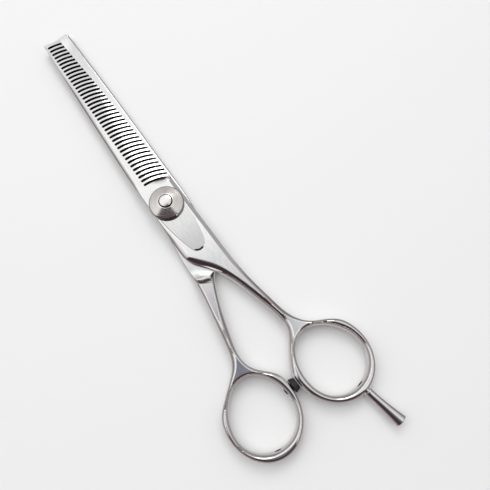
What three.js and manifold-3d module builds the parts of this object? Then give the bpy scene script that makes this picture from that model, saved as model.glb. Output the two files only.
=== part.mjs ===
// Thinning shears, 6 inch class, lying closed with the tension dial up.
// Frame: origin on the pivot axis at the flat back of the pivot screw, +X to the blade tips,
// +Y to the thumb ring, +Z to the dial. Millimetres.

import * as THREE from 'three';
import { mergeVertices } from 'three/addons/utils/BufferGeometryUtils.js';
import Module from 'manifold-3d';

const wasm = await Module();
wasm.setup();

// ---- Driving dimensions ------------------------------------------------------------------

// Heights above the resting surface
const BODY_TOP = 5.3;            // crown of the shanks and rings
const MATE_LOW = 2.6;            // inner face of the plain half
const MATE_HIGH = 2.7;           // inner face of the toothed half
const RING_MID = 2.65;           // middle of both finger rings
const BLADE_BACK = 0.5;          // outer face of the plain blade at the pivot
const SEAT_TOP = 4.9;            // flat seat under the dial

// Blades
const COMB_TIP_X = 71.8;
const PLAIN_TIP_X = 72.6;
const RICASSO_END_X = 8;         // where the blade grinds begin
const GRIND_LEAD = 0.02;         // lets each grind run out cleanly on the ricasso
const COMB_TIP_TOP = 4.0;        // height of the toothed blade's flat at its tip
const TOOTH_DROP = 0.15;         // the teeth are ground this much below the flat
const TOOTH_SLOPE = 0.13;
const SPINE_SLOPE = 0.75;        // bevel along the toothed blade's back
const PLAIN_TIP_BACK = 1.2;      // height of the plain blade's outer face at its tip
const BACK_RUN_OUT = 12;         // length over which the back falls to the resting surface
const SLOT_COUNT = 40;
const SLOT_FIRST_X = 9.2;
const SLOT_PITCH = 1.555;
const SLOT_WIDTH = 0.75;
const SLOT_BOW_FIRST = 2.0;      // how far the open end leans back, at the pivot
const SLOT_BOW_LAST = 1.2;       // and at the tip
const SLOT_OPEN_Y = -7.2;        // beyond the tooth tips
const BEVEL_START_X = 9.3;       // cutting bevel under the plain blade's edge
const BEVEL_SLOPE = 0.3;
const BEVEL_LIP = 0.15;

// Handles
const FINGER_RING = { x: -66.9, y: -11.1, rx: 13.2, ry: 11.7, holeX: 11.05, holeY: 9.5, turn: 15 };
const THUMB_RING = { x: -66.95, y: 14.15, rx: 13.15, ry: 11.35, holeX: 10.9, holeY: 9.4, turn: -9 };
const HOLE_SHIFT = 0.3;          // the wall is thicker on the far side of each ring
const HOLE_EGG = 0.12;
const HOLE_SIDES = 40;
const RING_ARCS = 6;
const EDGE_ROUND = 0.45;         // rounding of every handle edge
const COMB_WELD_X = -24;         // blade meets handle, toothed half
const PLAIN_WELD_X = -21;        // blade meets handle, plain half
const WELD_GAP = 0.1;

// Pivot
const SCREW_R = 2.2;
const THREAD_R = 1.75;
const STUD_R = 1.87;             // domed end in the middle of the dial
const STUD_TOP = 8.1;
const SCREW_HEAD_R = 4.1;
const NECK_SIDE = 4.0;           // square neck that keys the screw to the plain half
const BUSH_R = 2.9;
const FIT_GAP = 0.06;
const WASHER_R = 4.6;
const RECESS_LOW = 2.15;         // floor of the washer's recess in the plain half
const DIAL_R = 5.4;
const DIAL_LOW = 5.0;
const DIAL_SHOULDER = 6.25;
const DIAL_TOP = 7.55;
const DIAL_HOLE_R = 2.15;
const DIAL_POCKET_R = 4.3;
const DIAL_POCKET_TOP = 5.85;
const NOTCH_R = 0.28;            // click mark on the dial's rim
const NOTCH_Y = -0.4;
const STUD_SINK = 0.55;          // depth of the counterbore round the stud
const SPRING_R = 4;
const SPRING_THICKNESS = 0.25;
const DIMPLE_R = 0.38;
const DIMPLE_X = 3.2;

// Bumper and finger rest
const BUMPER_X = -66.2;
const BUMPER_TIP_Y = 0.85;
const BUMPER_BASE_Y = 2.62;
const STEM_R = 1.0;
const REST_ANGLE = 10.7;         // degrees that the finger rest leans out from -X
const REST_BASE = { x: -80.25, y: -13.9 };
const REST_LENGTH = 12.2;
const REST_END_R = 1.95;
const HOLE_R = 1.1;              // tapped hole in each ring
const HOLE_LENGTH = 6;
const SPARE_HOLE = { x: -78.9, y: 16.6, angle: 172 };

// The shank's crown rises from the dial seat between these
const CROWN_LOW_X = -4;
const CROWN_HIGH_X = -17;

// The thumb shank's crown ends in a concave step, between two lines across the plain half
const STEP_FOOT = [[-26.6, -1], [-19.6, 9]];
const STEP_CREST = [[-30.3, -1], [-25.2, 9]];
const STEP_SHARES = [0, 0.2, 0.45, 0.7, 1];
const STEP_POWER = 2.2;

// Reach of the cutting blocks beyond the piece
const FAR = 200;
const BELOW = -5;
const ABOVE = 9;
const WIDE = 40;
const radians = THREE.MathUtils.degToRad;

// ---- Solids ------------------------------------------------------------------------------

function toSolid(geometry) {
  const bare = geometry.clone();
  bare.deleteAttribute('normal');
  bare.deleteAttribute('uv');
  const merged = mergeVertices(bare, 1e-4);
  const triVerts = new Uint32Array(merged.index.array);
  const vertProperties = new Float32Array(merged.attributes.position.array);
  return new wasm.Manifold(new wasm.Mesh({ numProp: 3, vertProperties, triVerts }));
}

function toMesh(name, solid, material) {
  const { vertProperties, triVerts } = solid.getMesh();
  const geometry = new THREE.BufferGeometry();
  geometry.setAttribute('position', new THREE.BufferAttribute(vertProperties, 3));
  geometry.setIndex(new THREE.BufferAttribute(triVerts, 1));
  geometry.computeVertexNormals();
  const mesh = new THREE.Mesh(geometry, material);
  mesh.name = name;
  return mesh;
}

// A flat plate of the given outline, with its edges rounded inside the outline.
function slab(outline, low, top, round = 0) {
  const geometry = new THREE.ExtrudeGeometry(outline, {
    depth: top - low - 2 * round,
    bevelEnabled: round > 0,
    bevelThickness: round,
    bevelSize: round,
    bevelOffset: -round,
    bevelSegments: 2,
    curveSegments: 3,
  });
  geometry.translate(0, 0, low + round);
  return toSolid(geometry);
}

function polygon(points) {
  return new THREE.Shape(points.map(([x, y]) => new THREE.Vector2(x, y)));
}

function block(xLow, xHigh, yLow, yHigh, zLow, zHigh) {
  const geometry = new THREE.BoxGeometry(xHigh - xLow, yHigh - yLow, zHigh - zLow);
  geometry.translate((xLow + xHigh) / 2, (yLow + yHigh) / 2, (zLow + zHigh) / 2);
  return geometry;
}

// A cutting block whose inner face follows the sloping plane height(x, y).
function grind(height, outerZ, xLow, xHigh) {
  const geometry = block(xLow, xHigh, -WIDE, WIDE, 0, 1);
  const corners = geometry.attributes.position;
  for (let i = 0; i < corners.count; i += 1) {
    const inner = outerZ > 0 ? corners.getZ(i) < 0.5 : corners.getZ(i) > 0.5;
    const z = inner ? height(corners.getX(i), corners.getY(i)) : outerZ;
    corners.setZ(i, z);
  }
  return toSolid(geometry);
}

// Cutting blocks for everything behind, or ahead of, a square cut at x.
function behind(x) {
  return toSolid(block(-FAR, x, -WIDE, WIDE, BELOW, ABOVE));
}

function ahead(x) {
  return toSolid(block(x, FAR, -WIDE, WIDE, BELOW, ABOVE));
}

// A round solid about the pivot axis, from [radius, height] pairs.
function turned(profile, segments = 40) {
  const points = profile.map(([r, z]) => new THREE.Vector2(r, z));
  const geometry = new THREE.LatheGeometry(points, segments);
  geometry.rotateX(Math.PI / 2);
  return toSolid(geometry);
}

function washer(inner, outer, low, top) {
  return turned([[inner, low], [outer, low], [outer, top], [inner, top], [inner, low]]);
}

function drill(radius, low, top) {
  return turned([[0, low], [radius, low], [radius, top], [0, top]]);
}

// A round hole across a ring wall, centred at x, y and running at the given angle.
function crossHole(x, y, angle, length) {
  const geometry = new THREE.CylinderGeometry(HOLE_R, HOLE_R, length, 16);
  geometry.rotateZ(radians(angle - 90));
  geometry.translate(x, y, RING_MID);
  return toSolid(geometry);
}

// ---- Outlines ----------------------------------------------------------------------------

function smoothTo(shape, points) {
  shape.splineThru(points.map(([x, y]) => new THREE.Vector2(x, y)));
}

function ringPoint(ring, angle) {
  const point = new THREE.Vector2(ring.rx * Math.cos(radians(angle)), ring.ry * Math.sin(radians(angle)));
  point.rotateAround(new THREE.Vector2(), radians(ring.turn));
  return [ring.x + point.x, ring.y + point.y];
}

// Part of a ring's outside, laid as equal short arcs so that its facets stay even.
function ringArc(shape, ring, from, to) {
  const share = (to - from) / RING_ARCS;
  for (let i = 0; i < RING_ARCS; i += 1) {
    const start = radians(from + i * share);
    const end = radians(from + (i + 1) * share);
    shape.absellipse(ring.x, ring.y, ring.rx, ring.ry, start, end, false, radians(ring.turn));
  }
}

// The finger opening is egg-shaped, narrower towards the shank.
function ringHole(ring) {
  const centre = new THREE.Vector2(ring.x + HOLE_SHIFT, ring.y);
  const points = [];
  for (let i = 0; i < HOLE_SIDES; i += 1) {
    const angle = (-2 * Math.PI * i) / HOLE_SIDES;
    const narrowing = 1 - HOLE_EGG * Math.cos(angle);
    const point = new THREE.Vector2(ring.holeX * Math.cos(angle), ring.holeY * Math.sin(angle) * narrowing);
    points.push(point.rotateAround(new THREE.Vector2(), radians(ring.turn)).add(centre));
  }
  return new THREE.Path(points);
}

// Toothed half: tip, spine, finger shank, finger ring, and back along the tooth tips.
function combOutline() {
  const shape = new THREE.Shape();
  shape.moveTo(COMB_TIP_X - 0.8, -4.3);
  shape.lineTo(COMB_TIP_X - 0.7, -3.0);
  shape.lineTo(COMB_TIP_X, 1.1);
  smoothTo(shape, [[50, 2.7], [25, 4.3], [12, 5], [0, 5.2], [-8, 5.5], [-15, 5.8], [-18.5, 5.4],
    [-21.5, 3.5], [-26, 0.2], [-31, -2.2], [-38, -4.2], [-45, -5.9], [-50, -6.7], [-53, -6.3],
    [-56.5, -3.9], [-60.5, -1.1], ringPoint(FINGER_RING, 63)]);
  ringArc(shape, FINGER_RING, 63, 288);
  smoothTo(shape, [[-57, -16.9], [-54.8, -13], [-52.5, -10.9], [-49, -9.2], [-42, -7.7],
    [-34, -6.5], [-26, -6], [-15, -6]]);
  shape.lineTo(6.3, -6.1);
  smoothTo(shape, [[25, -6], [50, -5.3], [COMB_TIP_X - 1.5, -4.33]]);
  shape.holes.push(ringHole(FINGER_RING));
  return shape;
}

// Plain half: tip, cutting edge, thumb shank, thumb ring, and back along the spine.
function plainOutline() {
  const shape = new THREE.Shape();
  shape.moveTo(PLAIN_TIP_X - 1.2, -8);
  shape.lineTo(PLAIN_TIP_X, -6.8);
  shape.lineTo(PLAIN_TIP_X - 0.6, 0.3);
  shape.lineTo(9, 2.7);
  smoothTo(shape, [[5, 4.2], [0, 4.9], [-10, 5.7], [-17, 6.6], [-22, 6.95], [-30, 7.8], [-40, 9.8],
    [-48, 11.5], [-51.5, 13.1], [-54.5, 16.3], [-58, 20.8], ringPoint(THUMB_RING, 73)]);
  ringArc(shape, THUMB_RING, 73, 306);
  smoothTo(shape, [[-57.5, 6.9], [-54, 9.3], [-50, 9.75], [-45, 8.6], [-40, 7.1], [-35, 5.4], [-30, 3.2],
    [-26, 0.7], [-19, -3.6], [-10, -5.7], [0, -6.8], [10, -7.1], [40, -7.7], [PLAIN_TIP_X - 2, -8]]);
  shape.holes.push(ringHole(THUMB_RING));
  return shape;
}

// One slot between two teeth: round at the closed end, leaning back towards the open end.
function slotOutline(index) {
  const share = index / (SLOT_COUNT - 1);
  const x = SLOT_FIRST_X + index * SLOT_PITCH;
  const closedY = 2.25 - 1.65 * share ** 1.4;
  const bow = THREE.MathUtils.lerp(SLOT_BOW_FIRST, SLOT_BOW_LAST, share);
  const half = SLOT_WIDTH / 2;
  const lean = (t) => x - bow * 1.35 * t * t;
  const height = (t) => THREE.MathUtils.lerp(closedY - half, SLOT_OPEN_Y, t);
  const steps = [0, 0.25, 0.5, 0.75, 1];
  const shape = new THREE.Shape();
  shape.moveTo(x + half, height(0));
  shape.absarc(x, height(0), half, 0, Math.PI, false);
  steps.forEach((t) => shape.lineTo(lean(t) - half, height(t)));
  steps.reverse().forEach((t) => shape.lineTo(lean(t) + half, height(t)));
  return shape;
}

// ---- Materials ---------------------------------------------------------------------------

function polishedSteel() {
  return new THREE.MeshStandardMaterial({ color: 0xd9d8d6, roughness: 0.12, metalness: 1 });
}

function brushedSteel() {
  return new THREE.MeshStandardMaterial({ color: 0xb9b3ab, roughness: 0.35, metalness: 1 });
}

function blackRubber() {
  return new THREE.MeshStandardMaterial({ color: 0x17171a, roughness: 0.8, metalness: 0 });
}

function bearingPlastic() {
  return new THREE.MeshStandardMaterial({ color: 0xe8e6df, roughness: 0.5, metalness: 0 });
}

function bronze() {
  return new THREE.MeshStandardMaterial({ color: 0xa97b4a, roughness: 0.35, metalness: 1 });
}

// ---- Toothed half ------------------------------------------------------------------------

// The whole toothed half before it is parted at the weld.
function combHalf() {
  const blade = polygon([[-29.5, 3], [-22, -8], [FAR, -8], [FAR, 20], [-29.5, 20]]);
  const heelRelief = slab(blade, BELOW, MATE_HIGH);
  const seat = slab(seatOutline(), SEAT_TOP, BODY_TOP + 1);
  const crownFall = (BODY_TOP - SEAT_TOP) / (CROWN_LOW_X - CROWN_HIGH_X);
  const crown = grind((x) => SEAT_TOP + crownFall * (CROWN_LOW_X - x), FAR, CROWN_HIGH_X, RICASSO_END_X);
  return slab(combOutline(), 0, BODY_TOP, EDGE_ROUND).subtract(heelRelief).subtract(seat).subtract(crown);
}

// The flat that carries the dial: a milled tongue behind the pivot, the full width ahead of it.
function seatOutline() {
  const shape = new THREE.Shape();
  shape.moveTo(-18.4, 0);
  smoothTo(shape, [[-17.3, -2.1], [-14, -3.3], [-9, -4.2], [-2, -4.8]]);
  shape.lineTo(4, -8);
  shape.lineTo(FAR, -8);
  shape.lineTo(FAR, 8);
  shape.lineTo(4, 8);
  smoothTo(shape, [[-3, 4.6], [-9, 3.9], [-14, 2.9], [-17.3, 1.7], [-18.4, 0]]);
  return shape;
}

function combBlade() {
  const fall = (SEAT_TOP - COMB_TIP_TOP) / (COMB_TIP_X - RICASSO_END_X);
  const flat = (x) => SEAT_TOP - fall * (x - RICASSO_END_X) + GRIND_LEAD;
  const spineAt = (x) => 5 - 0.066 * (x - 12);
  const toothAt = (x) => flat(x) - TOOTH_DROP;
  const cuts = [
    grind((x) => flat(x), FAR, RICASSO_END_X, FAR),
    grind((x, y) => toothAt(x) + TOOTH_SLOPE * (y - 1.6), FAR, RICASSO_END_X, FAR),
    grind((x, y) => flat(x) - SPINE_SLOPE * (y - spineAt(x) + 1), FAR, RICASSO_END_X, FAR),
    drill(BUSH_R + FIT_GAP, 1, ABOVE),
    behind(COMB_WELD_X + WELD_GAP / 2),
  ];
  for (let index = 0; index < SLOT_COUNT; index += 1) {
    cuts.push(slab(slotOutline(index), 1, ABOVE));
  }
  const blade = cuts.reduce((solid, cut) => solid.subtract(cut), combHalf());
  return toMesh('comb_blade', blade, polishedSteel());
}

function fingerHandle() {
  const restHole = crossHole(REST_BASE.x + 1.5, REST_BASE.y + 0.28, 180 + REST_ANGLE, HOLE_LENGTH);
  const handle = combHalf().subtract(ahead(COMB_WELD_X - WELD_GAP / 2)).subtract(restHole);
  return toMesh('finger_handle', handle, polishedSteel());
}

// Screw-in rest for the little finger: threaded stud, collar, and a flared horn.
function fingerRest() {
  const profile = [[0, -1.75], [0.95, -1.75], [0.95, 0.1], [1.3, 0.1], [1.3, 0.5], [1.15, 0.9], [1.2, 4],
    [1.45, 8], [REST_END_R - 0.12, REST_LENGTH - 0.15], [REST_END_R - 0.25, REST_LENGTH], [0, REST_LENGTH]];
  const points = profile.map(([r, y]) => new THREE.Vector2(r, y));
  const geometry = new THREE.LatheGeometry(points, 28);
  geometry.rotateZ(radians(90 + REST_ANGLE));
  geometry.translate(REST_BASE.x, REST_BASE.y, RING_MID);
  return toMesh('finger_rest', toSolid(geometry), polishedSteel());
}

function pivotBush() {
  const bush = washer(SCREW_R + FIT_GAP, BUSH_R, MATE_HIGH + 0.02, SEAT_TOP - 0.02);
  return toMesh('pivot_bush', bush, bronze());
}

// ---- Plain half --------------------------------------------------------------------------

// Everything above the flat inner face, and above the hollow slope of the step.
function innerCut() {
  const [near, far] = STEP_FOOT;
  const flat = polygon([near, far, [far[0], WIDE], [FAR, WIDE], [FAR, -WIDE], [near[0], -WIDE]]);
  const rows = STEP_SHARES.map((share) => {
    const z = MATE_LOW + (BODY_TOP - MATE_LOW) * share ** STEP_POWER;
    return STEP_FOOT.map(([x, y], end) => [THREE.MathUtils.lerp(x, STEP_CREST[end][0], share), y, z]);
  });
  let cut = slab(flat, MATE_LOW, ABOVE);
  for (let i = 1; i < rows.length; i += 1) {
    const floor = [...rows[i - 1], ...rows[i]];
    const ceiling = floor.map(([x, y]) => [x, y, ABOVE]);
    cut = cut.add(wasm.Manifold.hull([...floor, ...ceiling]));
  }
  return cut;
}

// The whole plain half before it is parted at the weld. Ahead of the step its inner face is flat.
function plainHalf() {
  const backFall = BLADE_BACK / BACK_RUN_OUT;
  const backAt = (x) => BLADE_BACK + backFall * (x - PLAIN_WELD_X);
  const back = grind(backAt, -FAR, PLAIN_WELD_X - BACK_RUN_OUT, PLAIN_WELD_X);
  const front = grind(() => BLADE_BACK, -FAR, PLAIN_WELD_X, FAR);
  const whole = slab(plainOutline(), 0, BODY_TOP, EDGE_ROUND);
  return whole.subtract(innerCut()).subtract(back).subtract(front);
}

function plainBlade() {
  const rise = (PLAIN_TIP_BACK - BLADE_BACK) / (PLAIN_TIP_X - RICASSO_END_X);
  const back = (x) => BLADE_BACK + rise * (x - RICASSO_END_X) - GRIND_LEAD;
  const edgeAt = (x) => 2.7 - 0.038 * (x - 9);
  const lip = MATE_LOW - BEVEL_LIP;
  const square = NECK_SIDE / 2 + FIT_GAP;
  const cuts = [
    grind((x) => back(x), -FAR, RICASSO_END_X, FAR),
    grind((x, y) => lip + BEVEL_SLOPE * (y - edgeAt(x)), -FAR, BEVEL_START_X, FAR),
    toSolid(block(-square, square, -square, square, BELOW, ABOVE)),
    drill(WASHER_R + FIT_GAP, RECESS_LOW, ABOVE),
    behind(PLAIN_WELD_X + WELD_GAP / 2),
  ];
  const blade = cuts.reduce((solid, cut) => solid.subtract(cut), plainHalf());
  return toMesh('plain_blade', blade, polishedSteel());
}

function thumbHandle() {
  const blade = ahead(PLAIN_WELD_X - WELD_GAP / 2);
  const stemHole = crossHole(BUMPER_X, BUMPER_BASE_Y + 1, 90, 5);
  const spareHole = crossHole(SPARE_HOLE.x, SPARE_HOLE.y, SPARE_HOLE.angle, HOLE_LENGTH);
  const handle = plainHalf().subtract(blade).subtract(stemHole).subtract(spareHole);
  return toMesh('thumb_handle', handle, polishedSteel());
}

// Rubber silencer: the finger ring closes on its tip, and its stem is pushed through the thumb ring.
function bumper() {
  const profile = [[0, BUMPER_TIP_Y], [1.55, BUMPER_TIP_Y], [1.75, BUMPER_TIP_Y + 0.2],
    [2.2, BUMPER_BASE_Y - 0.2], [2.15, BUMPER_BASE_Y], [STEM_R, BUMPER_BASE_Y],
    [STEM_R, 4.95], [0.7, 5.2], [0, 5.25]];
  const points = profile.map(([r, y]) => new THREE.Vector2(r, y));
  const geometry = new THREE.LatheGeometry(points, 24);
  geometry.translate(BUMPER_X, 0, RING_MID);
  return toMesh('bumper', toSolid(geometry), blackRubber());
}

// ---- Pivot -------------------------------------------------------------------------------

// Head at the back, square neck in the plain half, round journal, thread, and a domed end.
function pivotScrew() {
  const neckTop = RECESS_LOW + 0.05;
  const body = turned([[0, 0], [SCREW_HEAD_R - 0.5, 0], [SCREW_HEAD_R, BLADE_BACK - 0.2],
    [SCREW_HEAD_R, BLADE_BACK - FIT_GAP], [1.9, BLADE_BACK - FIT_GAP], [1.9, neckTop], [SCREW_R, neckTop],
    [SCREW_R, SEAT_TOP + 0.05], [THREAD_R, SEAT_TOP + 0.05],
    [THREAD_R, DIAL_TOP - STUD_SINK + 0.05], [STUD_R, DIAL_TOP - STUD_SINK + 0.05],
    [STUD_R, STUD_TOP - 0.45], [1.5, STUD_TOP - 0.17], [0.8, STUD_TOP - 0.03], [0, STUD_TOP]]);
  const half = NECK_SIDE / 2;
  const neck = toSolid(block(-half, half, -half, half, BLADE_BACK - 0.3, neckTop));
  return toMesh('pivot_screw', body.add(neck), polishedSteel());
}

function frictionWasher() {
  const ring = washer(SCREW_R + 0.7, WASHER_R, RECESS_LOW + 0.03, MATE_HIGH - 0.03);
  return toMesh('friction_washer', ring, bearingPlastic());
}

function thrustWasher() {
  const ring = washer(SCREW_R + 0.2, SPRING_R, SEAT_TOP + 0.03, SEAT_TOP + 0.3);
  return toMesh('thrust_washer', ring, brushedSteel());
}

// Flat spring under the dial, with two dimples that click in the dial's notches.
function clickSpring() {
  const low = SEAT_TOP + 0.35;
  let spring = washer(SCREW_R + 0.1, SPRING_R, low, low + SPRING_THICKNESS);
  [-DIMPLE_X, DIMPLE_X].forEach((x) => {
    const ball = new THREE.SphereGeometry(DIMPLE_R, 12, 8);
    ball.translate(x, 0, low + 0.15);
    spring = spring.add(toSolid(ball));
  });
  const flatBack = toSolid(block(-WIDE, WIDE, -WIDE, WIDE, BELOW, low));
  return toMesh('click_spring', spring.subtract(flatBack), brushedSteel());
}

// Shallow conical thumb nut that sets the blade tension.
function tensionDial() {
  const body = turned([[THREAD_R + FIT_GAP, DIAL_POCKET_TOP], [DIAL_POCKET_R, DIAL_POCKET_TOP],
    [DIAL_POCKET_R, DIAL_LOW], [DIAL_R - 0.25, DIAL_LOW], [DIAL_R, DIAL_LOW + 0.3],
    [DIAL_R, DIAL_SHOULDER - 0.4], [DIAL_R - 0.3, DIAL_SHOULDER], [DIAL_HOLE_R + 0.3, DIAL_TOP],
    [DIAL_HOLE_R, DIAL_TOP - 0.15],
    [DIAL_HOLE_R, DIAL_TOP - STUD_SINK], [THREAD_R + FIT_GAP, DIAL_TOP - STUD_SINK],
    [THREAD_R + FIT_GAP, DIAL_POCKET_TOP]]);
  const notch = new THREE.CylinderGeometry(NOTCH_R, NOTCH_R, 4, 10);
  notch.rotateX(Math.PI / 2);
  notch.translate(-DIAL_R - 0.05, NOTCH_Y, DIAL_SHOULDER);
  return toMesh('tension_dial', body.subtract(toSolid(notch)), brushedSteel());
}

// ---- Assembly ----------------------------------------------------------------------------

const group = new THREE.Group();
group.add(
  plainBlade(),
  thumbHandle(),
  bumper(),
  pivotScrew(),
  frictionWasher(),
  thrustWasher(),
  clickSpring(),
  combBlade(),
  fingerHandle(),
  fingerRest(),
  pivotBush(),
  tensionDial(),
);

export default group;
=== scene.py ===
import math

import bmesh
import bpy
import numpy as np
from mathutils import Matrix, Vector
from mathutils.geometry import delaunay_2d_cdt
from mathutils.kdtree import KDTree


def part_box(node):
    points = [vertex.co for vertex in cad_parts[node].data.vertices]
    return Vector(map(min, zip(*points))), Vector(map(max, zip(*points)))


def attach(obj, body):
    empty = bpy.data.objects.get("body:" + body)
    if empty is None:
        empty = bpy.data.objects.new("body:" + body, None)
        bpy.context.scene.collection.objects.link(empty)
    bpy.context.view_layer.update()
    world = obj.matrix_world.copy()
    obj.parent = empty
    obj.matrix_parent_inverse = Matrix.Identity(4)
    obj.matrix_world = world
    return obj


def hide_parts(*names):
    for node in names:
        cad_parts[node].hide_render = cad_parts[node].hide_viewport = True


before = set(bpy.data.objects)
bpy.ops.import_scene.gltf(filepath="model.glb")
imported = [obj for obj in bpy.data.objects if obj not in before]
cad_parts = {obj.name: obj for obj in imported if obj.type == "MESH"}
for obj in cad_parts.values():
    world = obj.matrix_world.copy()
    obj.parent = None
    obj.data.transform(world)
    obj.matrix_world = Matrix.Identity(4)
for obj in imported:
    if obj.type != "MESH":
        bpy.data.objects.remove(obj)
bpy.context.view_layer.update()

# Shapes below are in millimetres in the CAD frame and become metres in build().
MM = 0.001
STEP = 0.2                       # spacing of points along an outline
LEAST_WALL = 0.12                # a relief's side wall is never lower than this
LEAST_MITRE = 0.35               # keeps the mitred normal of a sharp corner short
ARC_STEPS = 8                    # rows of points across an edge band
BEYOND = (1.12, 1.5)             # two more rows past the band, as shares of its width
THIN_BAND = 0.3                  # bands no wider than this get only their last row
CLEAR = 0.35                     # share of its spacing that a grid keeps from other points
SHARP = math.radians(32)
ROWS_AT_ONCE = 3000

# ---- Heights, as the CAD model has them ---------------------------------------------------

BODY_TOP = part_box("comb_blade")[1].z / MM       # crown of the shanks and rings
SEAT = BODY_TOP - 0.4                           # flat seat under the dial
RING_MID = 2.65                                 # middle of both finger rings
MATE_LOW = 2.6                                  # inner face of the plain half
MATE_HIGH = 2.7                                 # inner face of the toothed half
BLADE_BACK = 0.5                                # outer face of the plain blade at the pivot
PLAIN_TIP_BACK = 1.2                            # and at its tip
TIP_TOP = 4.0                                   # top of the toothed blade at its tip
COMB_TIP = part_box("comb_blade")[1].x / MM
PLAIN_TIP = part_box("plain_blade")[1].x / MM
GRIND_X = 8.0                                   # where the blade grinds begin
DIAL_R = (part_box("tension_dial")[1].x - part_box("tension_dial")[0].x) / MM / 2
STUD_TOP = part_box("pivot_screw")[1].z / MM

# Edge styles: width of the edge band, how far it falls, and its roundness (1 is a flat chamfer)
CRISP = (0.07, 0.07, 1.0)
TIP_CORNER = (0.25, 0.12, 1.2)
CUTTING = (0.05, 0.03, 1.0)
HEEL_EDGE = (0.05, 0.05, 1.0)
UNDER_EDGE = (0.3, 0.25, 1.4)
LAND = (0.3, 0.3, 1.6)
LAND_END = (0.6, 0.55, 1.1)
FLANK_START = (1.0, 0.95, 1.15)
STEP_SIDE = (0.8, 1.0, 1.4)
SPINE = (0.95, 0.8, 1.25)
SPINE_TIP = (0.6, 0.3, 1.25)
FLANK = (1.8, 1.35, 1.5)
BELLY = (1.2, 0.78, 1.0)
BACK = (0.5, 0.3, 1.1)
SHANK = (1.3, 1.4, 1.35)
NARROW = (0.85, 1.1, 1.5)
WEB = (0.75, 1.2, 1.7)
BEVEL = (1.15, 0.85, 1.1)
RING = (1.02, 1.5, 1.8)


# ---- Curves --------------------------------------------------------------------------------

def smooth(points, spacing=STEP, fairing=1.2):
    """A fair curve through rows of x, y and edge style: natural spline, even spacing, light averaging."""
    rows = np.array(points, float)
    t = np.r_[0, np.cumsum(np.hypot(*np.diff(rows[:, :2], axis=0).T) ** 0.75)]
    h = np.diff(t)
    n = len(t)
    system = np.eye(n)
    right = np.zeros((n, 2))
    for i in range(1, n - 1):
        system[i, i - 1:i + 2] = h[i - 1], 2 * (h[i - 1] + h[i]), h[i]
        slopes = (rows[i + 1, :2] - rows[i, :2]) / h[i] - (rows[i, :2] - rows[i - 1, :2]) / h[i - 1]
        right[i] = 6 * slopes
    bend = np.linalg.solve(system, right)
    fine = np.linspace(0, t[-1], 40 * n)
    k = np.clip(np.searchsorted(t, fine, side="right") - 1, 0, n - 2)
    a = ((t[k + 1] - fine) / h[k])[:, None]
    b = 1 - a
    arch = ((a ** 3 - a) * bend[k] + (b ** 3 - b) * bend[k + 1]) * (h[k] ** 2 / 6)[:, None]
    xy = a * rows[k, :2] + b * rows[k + 1, :2] + arch
    style = a * rows[k, 2:] + b * rows[k + 1, 2:]
    return even(np.c_[xy, style], spacing, fairing)


def even(rows, spacing, fairing=0.0):
    """The same line with evenly spaced rows, averaged along its length with its ends held."""
    along = np.r_[0, np.cumsum(np.hypot(*np.diff(rows[:, :2], axis=0).T))]
    count = max(2, int(round(along[-1] / spacing)) + 1)
    at = np.linspace(0, along[-1], count)
    rows = np.column_stack([np.interp(at, along, column) for column in rows.T])
    if fairing:
        reach = int(3 * fairing / spacing)
        weights = np.exp(-0.5 * (np.arange(-reach, reach + 1) * spacing / fairing) ** 2)
        weights /= weights.sum()
        first = 2 * rows[0] - rows[reach:0:-1]
        last = 2 * rows[-1] - rows[-2:-reach - 2:-1]
        padded = np.vstack([first, rows, last])
        rows = np.column_stack([np.convolve(column, weights, "valid") for column in padded.T])
    return rows


def straight(start, end, style, spacing=STEP):
    """Rows along a straight edge, without its last point."""
    count = max(1, int(math.dist(start, end) / spacing))
    share = np.linspace(0, 1, count, endpoint=False)[:, None]
    xy = np.array(start) * (1 - share) + np.array(end) * share
    return np.c_[xy, np.tile(style, (count, 1))]


def ellipse(ring, degrees, egg=0.0):
    """Points of an ellipse, or of an egg that narrows towards the shank, turned in the plane."""
    x, y, rx, ry, turn = ring
    angles = np.radians(degrees)
    c, s = math.cos(math.radians(turn)), math.sin(math.radians(turn))
    u = rx * np.cos(angles)
    v = ry * np.sin(angles) * (1 - egg * np.cos(angles))
    return np.c_[x + c * u - s * v, y + s * u + c * v]


# ---- Relief solids: an outline with a top and a bottom that fall off at its edges -----------

def inward(xy):
    """Inward mitred normals of a closed line that keeps its solid on its left."""
    before = xy - np.roll(xy, 1, 0)
    after = np.roll(xy, -1, 0) - xy
    sides = []
    for d in (before, after):
        d = d / np.maximum(np.hypot(*d.T), 1e-9)[:, None]
        sides.append(np.c_[-d[:, 1], d[:, 0]])
    total = sides[0] + sides[1]
    return total / np.maximum(0.5 * (total ** 2).sum(1), LEAST_MITRE)[:, None]


def outline_tree(loops):
    """A search tree of all outline points."""
    points = np.vstack(loops)
    tree = KDTree(len(points))
    for i, (x, y) in enumerate(points):
        tree.insert((x, y, 0), i)
    tree.balance()
    return tree


def clearance(points, tree):
    """Distance from each point to the nearest outline point, and that point's row."""
    found = [tree.find((x, y, 0)) for x, y in points]
    return np.array([f[2] for f in found]), np.array([f[1] for f in found], int)


def inside(points, loops):
    """Even-odd test against all outlines together."""
    start = np.vstack(loops)
    end = np.vstack([np.roll(loop, -1, 0) for loop in loops])
    odd = np.zeros(len(points), bool)
    for low in range(0, len(points), ROWS_AT_ONCE):
        x = points[low:low + ROWS_AT_ONCE, 0, None]
        y = points[low:low + ROWS_AT_ONCE, 1, None]
        spans = (start[:, 1] > y) != (end[:, 1] > y)
        rise = np.where(end[:, 1] == start[:, 1], 1, end[:, 1] - start[:, 1])
        cross = start[:, 0] + (y - start[:, 1]) * (end[:, 0] - start[:, 0]) / rise
        odd[low:low + ROWS_AT_ONCE] = (spans & (x < cross)).sum(1) % 2 == 1
    return odd


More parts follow.
